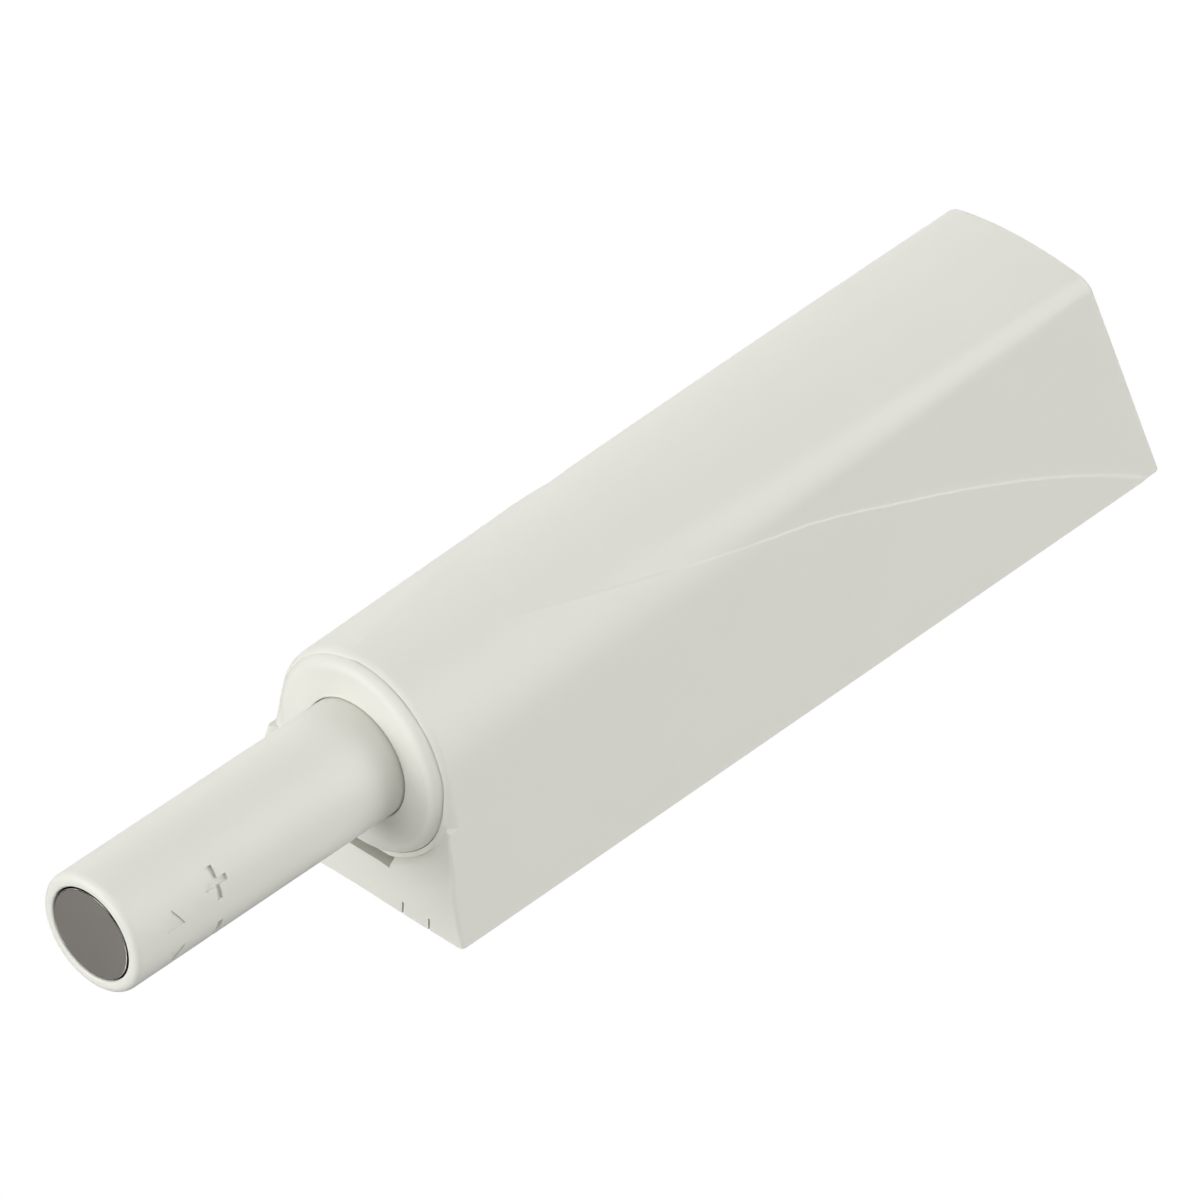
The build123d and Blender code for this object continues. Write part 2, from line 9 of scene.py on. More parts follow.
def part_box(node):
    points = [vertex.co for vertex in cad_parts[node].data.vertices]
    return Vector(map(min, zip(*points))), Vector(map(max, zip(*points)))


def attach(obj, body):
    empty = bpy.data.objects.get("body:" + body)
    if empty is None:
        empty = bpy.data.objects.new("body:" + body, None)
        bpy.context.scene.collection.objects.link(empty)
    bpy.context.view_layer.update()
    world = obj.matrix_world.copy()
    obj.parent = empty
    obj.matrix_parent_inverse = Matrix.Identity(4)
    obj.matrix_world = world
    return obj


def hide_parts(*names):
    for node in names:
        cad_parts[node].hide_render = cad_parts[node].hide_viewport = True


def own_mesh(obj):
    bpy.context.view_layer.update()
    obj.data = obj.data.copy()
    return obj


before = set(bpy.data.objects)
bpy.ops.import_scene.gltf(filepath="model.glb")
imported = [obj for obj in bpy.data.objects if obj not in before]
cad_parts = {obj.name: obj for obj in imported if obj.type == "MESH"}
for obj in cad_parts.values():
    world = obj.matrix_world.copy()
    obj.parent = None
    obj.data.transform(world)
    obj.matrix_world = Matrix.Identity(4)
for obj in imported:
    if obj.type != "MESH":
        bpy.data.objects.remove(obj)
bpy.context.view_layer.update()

# Lengths below are millimetres: x is +X, d runs rearwards from the plunger's tip, z is height above its axis.
TIP_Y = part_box("plunger_tube")[0][1] * 1000
AXIS_Z = 9.5


def place(p):
    return (p[0] / 1000, (p[1] + TIP_Y) / 1000, (p[2] + AXIS_Z) / 1000)


# ------------------------------------------------------------------ the cover's sections
HALF, STEP = 9.1, 0.07
D_RIM, RIM_ROUND, D_RING = 22.80, 0.63, 22.79
SEAT_R, LIP_R, RING_R, BARREL_HOLE_R = 6.75, 6.712, 7.07, 5.05
SHOULDER = -1.8
BASE = -AXIS_Z
D_SEAT, D_WALL = 24.05, 25.0
D_REAR, LEAN, REAR_ROUND, WALL_REAR = 85.95, 0.237, 0.6, 1.3
STEP_LINE = [
    (20.5, 7.02), (26.5, 6.72), (33.0, 6.28), (38.9, 5.60), (45.0, 4.57), (51.4, 3.22), (56.2, 2.08),
    (62.5, 0.02), (68.2, -1.94), (73.3, -3.90), (79.0, -6.44), (84.3, -9.25), (88.0, -11.4),
]


def lagrange(d, knots, values):
    out = 0
    for i, (k, v) in enumerate(zip(knots, values)):
        w = 1.0
        for j, m in enumerate(knots):
            if j != i:
                w *= (d - m) / (k - m)
        out = out + w * v
    return out


def natural_spline(points):
    x = np.array([p[0] for p in points])
    y = np.array([p[1] for p in points])
    n = len(x)
    h = np.diff(x)
    a = np.zeros((n, n))
    r = np.zeros(n)
    a[0, 0] = a[-1, -1] = 1
    for i in range(1, n - 1):
        a[i, i - 1], a[i, i], a[i, i + 1] = h[i - 1], 2 * (h[i - 1] + h[i]), h[i]
        r[i] = 6 * ((y[i + 1] - y[i]) / h[i] - (y[i] - y[i - 1]) / h[i - 1])
    m = np.linalg.solve(a, r)

    def value(t):
        i = int(np.clip(np.searchsorted(x, t) - 1, 0, n - 2))
        u, v = x[i + 1] - t, t - x[i]
        return (
            m[i] * u**3 / (6 * h[i]) + m[i + 1] * v**3 / (6 * h[i])
            + (y[i] / h[i] - m[i] * h[i] / 6) * u + (y[i + 1] / h[i] - m[i + 1] * h[i] / 6) * v
        )

    return value


step_height = natural_spline(STEP_LINE)


def arc(cx, cz, r, t0, t1, n):
    t = np.linspace(t0, t1, n)
    return np.stack([cx + r * np.cos(t), cz + r * np.sin(t)], 1)


N_ARC, N_SIDE = 500, 260


def section(half, x0, top=None, crown_r=None, corner_r=None, lift=0.0):
    """Right half of a section from the top centre down to the base, always with the same number of points."""
    lean = math.atan((half - x0) / AXIS_Z)
    n = (math.cos(lean), math.sin(lean))
    if top is None:
        r = x0 * n[0] - lift * n[1]
        crown = arc(0, lift, r, math.pi / 2, math.pi / 3, N_ARC)
        corner = arc(0, lift, r, math.pi / 3, lean, N_ARC)
        a = (r * n[0], lift + r * n[1])
    else:
        kz = top - crown_r
        reach = x0 * n[0] - corner_r
        t = (-n[1], n[0])
        b = 2 * (t[0] * reach * n[0] + t[1] * (reach * n[1] - kz))
        c = (reach * n[0]) ** 2 + (reach * n[1] - kz) ** 2 - (crown_r - corner_r) ** 2
        s = (-b + math.sqrt(b * b - 4 * c)) / 2
        cx, cz = reach * n[0] + s * t[0], reach * n[1] + s * t[1]
        tu = math.atan2(cz - kz, cx)
        crown = arc(0, kz, crown_r, math.pi / 2, tu, N_ARC)
        corner = arc(cx, cz, corner_r, tu, lean, N_ARC)
        a = (cx + corner_r * n[0], cz + corner_r * n[1])
    k = np.linspace(0, 1, N_SIDE)[:, None]
    sides = np.array(a) * (1 - k) + np.array((half, BASE)) * k
    return np.concatenate([crown, corner[1:], sides[1:]])


KNOTS = (21.0, 46.0, 87.0)
UPPER = [section(HALF, 7.115), section(HALF, 7.160, 6.87, 11.0, 3.95), section(HALF, 7.055, 6.505, 24.5, 1.27)]
LOWER = [
    section(HALF + STEP, 7.196), section(HALF + STEP, 7.232, lift=1.18), section(HALF + STEP, 7.125, lift=2.60),
]
INNER = [section(7.85, 5.97), section(7.85, 5.92, 5.60, 9.8, 2.8), section(7.85, 5.80, 5.20, 23.0, 0.6)]
INNER_KNOTS = (25.0, 46.0, 87.0)


def smooth(t):
    t = np.clip(t, 0, 1)
    return t * t * (3 - 2 * t)


def at_angle(table, t):
    """Radius of a half section at polar angles t."""
    ang = np.arctan2(table[:, 1], table[:, 0])[::-1]
    rad = np.hypot(table[:, 0], table[:, 1])[::-1]
    return np.interp(t, ang, rad)


N_TOP, N_RAMP, N_MID, N_LOW = 42, 6, 22, 20
RAMP = 0.075  # half width of the step, along the skin
TOP = 6.957  # nothing stands higher than this over the plunger's axis


def half_profile(d):
    """(x, z) rows of the right half at d, from the top centre over the step and the shoulder to the base."""
    up, low = lagrange(d, KNOTS, UPPER), lagrange(d, KNOTS, LOWER)
    # the two skins run together towards the front of the crown
    k = float(smooth((d - 22.0) / 24.0))
    au, al = np.arctan2(up[:, 1], up[:, 0]), np.arctan2(low[:, 1], low[:, 0])
    ru, rl = np.hypot(up[:, 0], up[:, 1]), np.hypot(low[:, 0], low[:, 1])
    near = np.interp(-al, -au, ru)
    share = 0.10 + 0.90 * float(smooth((d - 22.0) / 29.0))
    w = 1 - (1 - share) * smooth((al - 0.09) / 0.60)
    rl = near + (rl - near) * w
    hip = lambda t: 0.042 * np.exp(-(((t - 0.70) / 0.40) ** 2)) * k
    ru, rl = ru - hip(au), rl - hip(al)
    up = np.stack([ru * np.cos(au), ru * np.sin(au)], 1)
    low = np.stack([rl * np.cos(al), rl * np.sin(al)], 1)
    zs = max(step_height(d), BASE + 0.02)
    rad_up = np.hypot(up[:, 0], up[:, 1])
    ang_up = np.arctan2(up[:, 1], up[:, 0])
    i = int(np.argmin(np.abs(up[:, 1] - zs) + (up[:, 0] < 0.05) * 9))
    t_step = min(ang_up[i], math.pi / 2 - 0.13)
    # towards the front the upper skin comes up to the lower one, and the step runs out
    want = 0.13 * float(smooth((d - 31.0) / 17.0))
    have = float(np.interp(-t_step, -al, rl) - np.interp(-t_step, -au, ru))
    part = 1 - float(smooth((d - 38.0) / 16.0))
    ru = ru + (have - want) * part * np.exp(-(((au - t_step) / 0.13) ** 2)) * smooth((math.pi / 2 - au) / 0.45)
    up = np.stack([ru * np.cos(au), ru * np.sin(au)], 1)
    gap = (RAMP + 0.035 * (1 - float(smooth((d - 46.0) / 18.0)))) / rad_up[i]
    low_corner, up_corner = math.atan2(BASE, low[-1, 0]), math.atan2(BASE, up[-1, 0])
    t0, t1 = t_step + gap, t_step - gap
    done = t1 < low_corner + 0.004  # the step has run off the base
    if done:
        t0, t1 = up_corner, up_corner
    # upper rows, closer together where the section turns
    k = np.nonzero(ang_up >= t0 - 1e-9)[0]
    pts = up[: k[-1] + 1]
    seg = np.hypot(*np.diff(pts, axis=0).T)
    turn = np.unwrap(np.arctan2(np.diff(pts[:, 1]), np.diff(pts[:, 0])))
    turn = np.abs(np.diff(turn, prepend=turn[0]))
    m = np.concatenate([[0], np.cumsum(seg / 9.0 + turn * 0.55)])
    want = np.linspace(0, m[-1], N_TOP)
    t_rows = np.interp(want, m, ang_up[: k[-1] + 1])
    t_rows[-1] = t0
    rows = [(at_angle(up, t_rows), t_rows)]
    # the step
    w = np.linspace(0, 1, N_RAMP + 1)[1:]
    tr = t0 + (t1 - t0) * w
    mix = smooth(w) if not done else np.zeros_like(w)
    rows.append((at_angle(up, tr) * (1 - mix) + at_angle(low, tr) * mix, tr))
    # below the step: to the shoulder, then to the base
    tab = up if done else low
    corner = up_corner if done else low_corner
    z1 = rows[-1][0][-1] * math.sin(t1)
    zm = min(SHOULDER, z1 - 0.19 * (z1 - BASE))
    tz = np.arctan2(tab[:, 1], tab[:, 0])
    tm = float(np.interp(-zm, -tab[N_ARC:, 1], tz[N_ARC:])) if not done else corner
    ta = np.linspace(t1, tm, N_MID + 1)[1:]
    rows.append((at_angle(tab, ta), ta))
    zb = np.linspace(zm, BASE, N_LOW + 1)[1:] if not done else np.full(N_LOW, BASE)
    tb = np.interp(-zb, -tab[N_ARC:, 1], tz[N_ARC:]) if not done else np.full(N_LOW, corner)
    rows.append((at_angle(tab, tb), tb))
    r = np.concatenate([q[0] for q in rows])
    t = np.concatenate([q[1] for q in rows])
    out = np.stack([r * np.cos(t), r * np.sin(t)], 1)
    out[0, 0] = 0.0
    out[-1, 1] = BASE
    if not done:
        out[N_TOP + N_RAMP + N_MID - 1, 1] = zm
    out[:, 1] = np.minimum(out[:, 1], TOP)
    return out


I_SHOULDER = N_TOP + N_RAMP + N_MID - 1


def inner_profile(d):
    """(x, z) rows of the hollow, as many as half_profile has."""
    tab = lagrange(d, INNER_KNOTS, INNER)
    ang = np.arctan2(tab[:, 1], tab[:, 0])
    corner = ang[-1]
    n = N_TOP + N_RAMP + N_MID
    t = np.concatenate([np.linspace(math.pi / 2, -0.29, n), np.zeros(N_LOW)])
    z0 = at_angle(tab, np.array([-0.29]))[0] * math.sin(-0.29)
    zb = np.linspace(z0, BASE, N_LOW + 1)[1:]
    t[n:] = np.interp(-zb, -tab[N_ARC:, 1], ang[N_ARC:])
    r = at_angle(tab, t)
    out = np.stack([r * np.cos(t), r * np.sin(t)], 1)
    out[0, 0] = 0.0
    out[-1, 1] = BASE
    return out


def whole(half):
    """Right base, over the top, to the left base."""
    left = half.copy()
    left[:, 0] *= -1
    return np.concatenate([half[::-1], left[1:]])


def leaning(points, s):
    """Puts a section's points on a plane that leans as the rear face does, the more so the nearer s is to it."""
    w = smooth((s - 76.0) / (D_REAR - 0.8 - 76.0))
    d = s - w * LEAN * (points[:, 1] - BASE)
    return np.stack([points[:, 0], d, points[:, 1]], 1)


def leaning_profile(s, maker):
    """Section whose every row is taken at its own d on the leaning plane."""
    flat = maker(s)
    w = smooth((s - 76.0) / (D_REAR - 0.8 - 76.0))
    if w <= 0:
        return leaning(whole(flat), s)
    # sections at a few d, then each row between them by its own height
    ds = np.linspace(s - w * LEAN * 17.0, s, 6)
    stack = np.array([maker(q) for q in ds])
    out = []
    for i, p in enumerate(flat):
        z = p[1]
        for _ in range(3):
            d = s - w * LEAN * (z - BASE)
            k = (d - ds[0]) / (ds[1] - ds[0])
            j = int(np.clip(k, 0, 4))
            q = stack[j, i] * (1 - (k - j)) + stack[j + 1, i] * (k - j)
            z = q[1]
        out.append((q[0], q[1]))
    return leaning(whole(np.array(out)), s)


def inset(points, by):
    """Moves a section inwards along its own normals, keeping its lowest row on the base."""
    p = points[:, [0, 2]]
    t = np.gradient(p, axis=0)
    n = np.stack([-t[:, 1], t[:, 0]], 1)
    n /= np.maximum(np.linalg.norm(n, axis=1), 1e-9)[:, None]
    q = p + n * by
    out = points.copy()
    out[:, 0], out[:, 2] = q[:, 0], q[:, 1]
    low = points[:, 2] < BASE + 1e-6
    mid = len(points) // 2
    for half in (range(mid), range(len(points) - 1, mid, -1)):
        ends = [i for i in half if low[i]]
        a, c = (ends[-1] + 1, ends[-1] + 2) if half[0] == 0 else (ends[-1] - 1, ends[-1] - 2)
        u = (BASE - out[a, 2]) / (out[c, 2] - out[a, 2])
        foot = out[a] + (out[c] - out[a]) * u
        for i in ends:
            out[i] = foot
    return out


class Skin:
    """Collects points and faces, with coinciding points merged at the end."""

    def __init__(self):
        self.verts, self.faces = [], []

    def add(self, points):
        i = len(self.verts)
        self.verts.extend(tuple(map(float, p)) for p in points)
        return list(range(i, len(self.verts)))

    def strip(self, a, b, closed=False):
        n = len(a)
        for i in range(n if closed else n - 1):
            j = (i + 1) % n
            self.faces.append((a[i], a[j], b[j], b[i]))

    def grid(self, rows, closed=False):
        for a, b in zip(rows, rows[1:]):
            self.strip(a, b, closed)

    def mesh(self, name, merge=2e-4, sharp=32.0):
        bm = bmesh.new()
        vs = [bm.verts.new(place(v)) for v in self.verts]
        for f in self.faces:
            f = list(dict.fromkeys(f))
            if len(f) > 2:
                try:
                    bm.faces.new([vs[i] for i in f])
                except ValueError:
                    pass
        bmesh.ops.remove_doubles(bm, verts=bm.verts, dist=merge / 1000)
        bmesh.ops.dissolve_degenerate(bm, edges=bm.edges, dist=1e-7)
        bmesh.ops.recalc_face_normals(bm, faces=bm.faces)
        me = bpy.data.meshes.new(name)
        bm.to_mesh(me)
        bm.free()
        finish_shading(me, sharp)
        return me


def finish_shading(me, sharp=32.0):
    me.polygons.foreach_set("use_smooth", [True] * len(me.polygons))
    me.set_sharp_from_angle(angle=math.radians(sharp))
    me.update()


def new_object(name, me, body):
    ob = bpy.data.objects.new(name, me)
    bpy.context.scene.collection.objects.link(ob)
    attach(ob, body)
    return ob


# ------------------------------------------------------------------ cover
DISH = natural_spline([
    (7.0, 23.02), (7.07, 22.97), (7.27, 22.72), (7.5, 22.52), (7.8, 22.38), (8.2, 22.29), (8.8, 22.21), (9.1, 22.13),
    (9.4, 22.01), (9.7, 21.90), (10.0, 21.845), (10.5, 21.82), (12.0, 21.82), (14.0, 21.82),
])


DISH_LOW = natural_spline([
    (7.0, 23.08), (7.07, 23.03), (7.2, 22.80), (7.35, 22.55), (7.6, 22.39), (8.2, 22.20), (9.0, 21.99), (9.5, 21.89),
    (10.0, 21.84), (10.6, 21.82), (12.0, 21.82), (14.0, 21.82),
])


def lip(t):
    """Radius of the rim's inner edge and its rounding at angles t: it touches the collar at the upper left."""
    t = np.degrees(np.asarray(t))
    shut = smooth((t - 88) / 14.0) * (1 - smooth((t - 185) / 20.0))
    return 6.735 - 0.050 * shut, 0.065 - 0.055 * shut


def foot_front(x, z):
    """d of the foot's front face at (x, z): a shallow recess round the ring, flat further out."""
    r = math.hypot(x, z)
    t = math.degrees(math.atan2(z, abs(x)))
    low = float(smooth((-t - 32) / 20.0))
    d = DISH(min(r, 13.9)) * (1 - low) + DISH_LOW(min(r, 13.9)) * low
    fade = 1 - float(smooth((-t - 22) / 26.0))
    d = min(d, 23.03 - 0.25 * fade) if r < 7.4 else d
    if abs(x) < 2.65 and z < -6.9:
        d = min(d, 22.45)
    return d


def build_cover():
    s = Skin()
    d0 = D_RIM + RIM_ROUND
    # stations: fine behind the rim, then even, then the leaning and rounded rear
    front = [d0, d0 + 0.25, d0 + 0.55, d0 + 0.9, d0 + 1.3]
    main = list(np.linspace(d0 + 1.8, D_REAR - REAR_ROUND, 92))
    rows, hollow = [], []
    stations = front + main
    sections = [leaning_profile(q, half_profile) for q in stations]
    last = sections[-1]
    for k in range(1, 8):
        phi = math.pi / 2 * k / 7
        p = leaning_profile(D_REAR - REAR_ROUND + REAR_ROUND * math.sin(phi), half_profile)
        sections.append(inset(p, REAR_ROUND * (1 - math.cos(phi))))
        stations.append(D_REAR - REAR_ROUND + REAR_ROUND * math.sin(phi))
    rows = [s.add(p) for p in sections]
    s.grid(rows)
    n = len(rows[0])
    mid = (n - 1) // 2
    for i in range(mid):  # rear face
        a, b, c, e = rows[-1][i], rows[-1][i + 1], rows[-1][n - 2 - i], rows[-1][n - 1 - i]
        s.faces.append((a, b, c, e))
    # hollow
    for q in stations:
        k = (q - stations[0]) / (stations[-1] - stations[0])
        e = D_WALL + k * (D_REAR - WALL_REAR - D_WALL)
        hollow.append(s.add(leaning_profile(e, inner_profile)))
    s.grid(hollow)
    for i in range(mid):
        a, b, c, e = hollow[-1][i], hollow[-1][i + 1], hollow[-1][n - 2 - i], hollow[-1][n - 1 - i]
        s.faces.append((a, b, c, e))
    # lower edge: along both sides and across the rear
    for k in (0, -1):
        s.strip([r[k] for r in rows], [r[k] for r in hollow])
    s.faces.append((rows[-1][0], rows[-1][-1], hollow[-1][-1], hollow[-1][0]))

    # front, above the shoulders: the rim
    ia, ib = mid - I_SHOULDER, mid + I_SHOULDER
    outer = sections[0][ia : ib + 1][:, [0, 2]]
    t_out = np.arctan2(outer[:, 1], outer[:, 0])
    t_out = np.where(t_out < -math.pi / 2, t_out + 2 * math.pi, t_out)
    t_sh = math.asin(SHOULDER / LIP_R)
    t_in = np.where(
        t_out < math.pi / 2,
        np.where(t_out < 0, t_out * t_sh / t_out[0], t_out),
        math.pi - np.where(math.pi - t_out < 0, (math.pi - t_out) * t_sh / t_out[0], math.pi - t_out),
    )

    def ring_point(t, r):
        p = np.stack([r * np.cos(t), r * np.sin(t)], 1)
        return p

    inner = ring_point(t_in, sum(lip(t_in)))
    inner[0, 1] = inner[-1, 1] = SHOULDER
    w_end = np.linalg.norm(outer - inner, axis=1)
    phi_end = np.where(w_end < RIM_ROUND, np.arccos(np.clip((RIM_ROUND - w_end) / RIM_ROUND, -1, 1)), math.pi / 2)
    rim_rows = [rows[0][ia : ib + 1]]
    d_in = None
    for k in range(1, 11):
        phi = phi_end * k / 10
        w = RIM_ROUND * (1 - np.cos(phi))
        p = outer + (inner - outer) * (w / w_end)[:, None]
        d = D_RIM + RIM_ROUND * (1 - np.sin(phi))
        rim_rows.append(s.add(np.stack([p[:, 0], d, p[:, 1]], 1)))
        d_in = d
    rim_rows.append(s.add(np.stack([inner[:, 0], d_in, inner[:, 1]], 1)))
    s.grid(rim_rows)
    arch_t = t_in

    # foot: sides forward of the first station, with a rounded front corner
    side_rows = {}
    corner = lambda z: 0.15 + 0.19 * float(smooth((-2.2 - z) / 3.0))
    for side, idx in ((1, range(0, ia + 1)), (-1, range(n - 1, ib - 1, -1))):
        pts = sections[0][list(idx)]
        cols = [[rows[0][i] for i in idx]]
        round_ = [corner(p[2]) for p in pts]
        fronts = [foot_front(abs(p[0]) - R, p[2]) for p, R in zip(pts, round_)]
        for k in (0.45, 0.8):
            cols.append(s.add([(p[0], d0 + (f + R - d0) * k, p[2]) for p, f, R in zip(pts, fronts, round_)]))
        for k in range(0, 7):
            phi = math.pi / 2 * k / 6
            cols.append(s.add([
                (p[0] - side * R * (1 - math.cos(phi)), f + R - R * math.sin(phi), p[2])
                for p, f, R in zip(pts, fronts, round_)
            ]))
        s.grid(cols)
        side_rows[side] = cols
    # foot: front face, as columns from the right shoulder round the bottom to the left shoulder
    right = side_rows[1][-1][::-1]  # shoulder down to base
    left = side_rows[-1][-1]  # base up to shoulder
    xr = s.verts[right[-1]][0]
    nb = 72
    base_x = np.linspace(xr, -xr, nb + 1)[1:-1]
    base_ids = s.add([(x, foot_front(x, BASE), BASE) for x in base_x])
    edge_ids = right + base_ids + left
    edge = np.array([s.verts[i] for i in edge_ids])
    te = np.arctan2(edge[:, 2], edge[:, 0])
    te = np.where(te > math.pi / 2, te - 2 * math.pi, te)
    te = np.where(te > 0, te - 2 * math.pi, te)
    u = (te - te[0]) / (te[-1] - te[0])
    ti = t_sh + (-math.pi - 2 * t_sh) * u
    ring = lambda r: np.stack([r * np.cos(ti), r * np.sin(ti)], 1)
    fade = np.array([float(smooth((-math.degrees(math.asin(math.sin(a))) - 22) / 26.0)) for a in ti])
    foot_cols = []
    c0 = ring(sum(lip(ti)))
    c0[0, 1] = c0[-1, 1] = SHOULDER
    d_lip = np.full(len(ti), D_RIM)
    foot_cols.append(s.add(np.stack([c0[:, 0], d_lip, c0[:, 1]], 1)))
    a1 = ring(RING_R - 0.04)
    a1[0, 1] = a1[-1, 1] = SHOULDER
    foot_cols.append(s.add(np.stack([a1[:, 0], np.where(fade > 0, D_RIM, D_RIM - 0.01), a1[:, 1]], 1)))
    a2 = ring(RING_R - 0.01)
    a2[0, 1] = a2[-1, 1] = SHOULDER
    foot_cols.append(s.add(np.stack([a2[:, 0], D_RIM - 0.01 + 0.03 * fade, a2[:, 1]], 1)))
    a3 = ring(RING_R)
    a3[0, 1] = a3[-1, 1] = SHOULDER
    floor_d = np.array([foot_front(x * 1.0005, z * 1.0005) for x, z in a3])
    foot_cols.append(s.add(np.stack([a3[:, 0], D_RIM - 0.01 + 0.07 * fade, a3[:, 1]], 1)))
    foot_cols.append(s.add(np.stack([a3[:, 0], np.maximum(floor_d, D_RIM - 0.01 + 0.07 * fade), a3[:, 1]], 1)))
    e2 = edge[:, [0, 2]]
    for q in (0.03, 0.07, 0.12, 0.18, 0.25, 0.32, 0.4, 0.48, 0.56, 0.64, 0.72, 0.8, 0.88, 0.95):
        p = a3 + (e2 - a3) * q
        d = [foot_front(x, z) for x, z in p]
        foot_cols.append(s.add(np.stack([p[:, 0], d, p[:, 1]], 1)))
    foot_cols.append(edge_ids)
    s.grid(foot_cols)
    # shoulder ledges
    for side, col in ((1, 0), (-1, -1)):
        loop = [c[col] for c in foot_cols]
        loop += [c[-1] for c in side_rows[side][:-1][::-1]]
        loop += [r[col] for r in rim_rows[1:]]
        s.faces.append(tuple(loop))
    # rounded inner edge of the rim and ring, seat, barrel hole, back of the front wall
    full_t = np.concatenate([arch_t, (ti[::-1] + 2 * math.pi)[1:-1]])
    full_d = np.concatenate([d_in, d_lip[::-1][1:-1]])
    first = rim_rows[-1] + foot_cols[0][::-1][1:-1]
    loops = [first]
    for k in (1, 2, 3):
        phi = math.pi / 2 * k / 3
        r, e = lip(full_t)
        r = r + e * (1 - math.sin(phi))
        loops.append(s.add(np.stack([r * np.cos(full_t), full_d + e * (1 - math.cos(phi)), r * np.sin(full_t)], 1)))
    for d, r in ((23.0, LIP_R), (23.06, SEAT_R), (D_SEAT, SEAT_R), (D_SEAT, BARREL_HOLE_R), (D_WALL, BARREL_HOLE_R)):
        loops.append(s.add(np.stack([r * np.cos(full_t), np.full(len(full_t), d), r * np.sin(full_t)], 1)))
    s.grid(loops, closed=True)
    # back of the front wall: hole to the hollow's front edge, which is open at the base
    h0 = hollow[0]
    hx = abs(s.verts[h0[0]][0])
    base_in = s.add([(x * hx / xr, D_WALL, BASE) for x in base_x])
    arch_part = h0[ia : ib + 1]
    lower = h0[ib + 1 :] + base_in[::-1] + h0[: ia]
    s.strip(loops[-1], arch_part + lower, closed=True)
    # underside of the front wall
    out_edge = [c[0] for c in side_rows[1]]  # right base corner, front edge rounding included
    front_base = [right[-1]] + base_ids + [left[0]]
    in_base = [h0[0]] + base_in + [h0[-1]]
    s.strip(front_base, in_base)
    for side, corner in ((1, h0[0]), (-1, h0[-1])):
        loop = [c[0] for c in side_rows[side]] + [corner]
        s.faces.append(tuple(loop))
    return s.mesh("cover")


def cutter(boxes):
    s = Skin()
    for (x0, x1), (a, b), (z0, z1) in boxes:
        v = s.add([(x, d, z) for x in (x0, x1) for d in (a, b) for z in (z0, z1)])
        for f in ((0, 1, 3, 2), (4, 6, 7, 5), (0, 4, 5, 1), (2, 3, 7, 6), (0, 2, 6, 4), (1, 5, 7, 3)):
            s.faces.append(tuple(v[i] for i in f))
    return s.mesh("cutter")


cover_mesh = build_cover()
cuts = [((-2.6, 2.6), (20.0, 24.3), (-7.2, -6.70))]
cuts += [((x - 0.07, x + 0.07), (20.0, 25.6), (BASE - 1, BASE + 0.85)) for x in (-6.4, -4.2, 4.2, 6.4)]
tool = bpy.data.objects.new("cutter", cutter(cuts))
bpy.context.scene.collection.objects.link(tool)
raw = bpy.data.objects.new("raw", cover_mesh)
bpy.context.scene.collection.objects.link(raw)
cut = raw.modifiers.new("cut", "BOOLEAN")
cut.object, cut.operation, cut.solver = tool, "DIFFERENCE", "EXACT"
bpy.context.view_layer.update()
done = bpy.data.meshes.new_from_object(raw.evaluated_get(bpy.context.evaluated_depsgraph_get()))
done.name = "cover"
bm = bmesh.new()
bm.from_mesh(done)
bmesh.ops.holes_fill(bm, edges=[e for e in bm.edges if e.is_boundary], sides=4)
bm.to_mesh(done)
bm.free()
bpy.data.objects.remove(raw)
bpy.data.objects.remove(tool)
finish_shading(done)
cover = new_object("cover", done, "housing")
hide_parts("cover_housing")


# ------------------------------------------------------------------ plunger: tube with engraved marks, magnet
def lathe(name, profile, n, mats=None):
    """Turns a closed (d, r) profile about the axis; mats gives each edge's material index."""
    s = Skin()
    ang = np.linspace(0, 2 * math.pi, n, endpoint=False)
    loops = []
    for d, r in profile:
        loops.append(s.add([(r * math.cos(a), d, r * math.sin(a)) for a in ang]) if r > 1e-6 else s.add([(0, d, 0)]) * n)
    index = []
    for k in range(len(profile)):
        a, b = loops[k], loops[(k + 1) % len(profile)]
        if profile[k][1] <= 1e-6 and profile[(k + 1) % len(profile)][1] <= 1e-6:
            continue
        before = len(s.faces)
        s.strip(a, b, closed=True)
        index += [0 if mats is None else mats[k]] * (len(s.faces) - before)
    bm = bmesh.new()
    vs = [bm.verts.new(place(v)) for v in s.verts]
    for f, m in zip(s.faces, index):
        face = bm.faces.new([vs[i] for i in dict.fromkeys(f)])
        face.material_index = m
    loose = [v for v in bm.verts if not v.link_faces]
    bmesh.ops.delete(bm, geom=loose, context="VERTS")
    bmesh.ops.recalc_face_normals(bm, faces=bm.faces)
    me = bpy.data.meshes.new(name)
    bm.to_mesh(me)
    bm.free()
    return me


def quarter(d0, r0, q, a0, a1, n=8):
    return [(d0 + q * math.sin(a), r0 + q * math.cos(a)) for a in np.radians(np.linspace(a0, a1, n + 1))]


TUBE_R, MOUTH = 4.0, 3.14
tube_profile = (
    quarter(0.50, TUBE_R - 0.50, 0.50, -90, 0, 14)
    + [(2.0, 4.0), (9.0, 4.0), (18.0, 4.0), (28.6, 4.0), (28.6, 3.5), (30.4, 3.5), (30.4, 3.85), (31.2, 3.85)]
    + [(31.2, 2.86), (4.2, 2.86), (4.2, MOUTH), (1.2, MOUTH)]
    + [(0.19 - 0.19 * math.sin(a), MOUTH + 0.19 - 0.19 * math.cos(a)) for a in np.radians(np.linspace(0, 90, 8))]
)


def on_tube(angle, across, d, r):
    """Point at across mm round the tube from angle (from the top towards +X), towards the top."""
    g = math.radians(angle) - math.asin(across / TUBE_R)
    return (r * math.sin(g), d, r * math.cos(g))


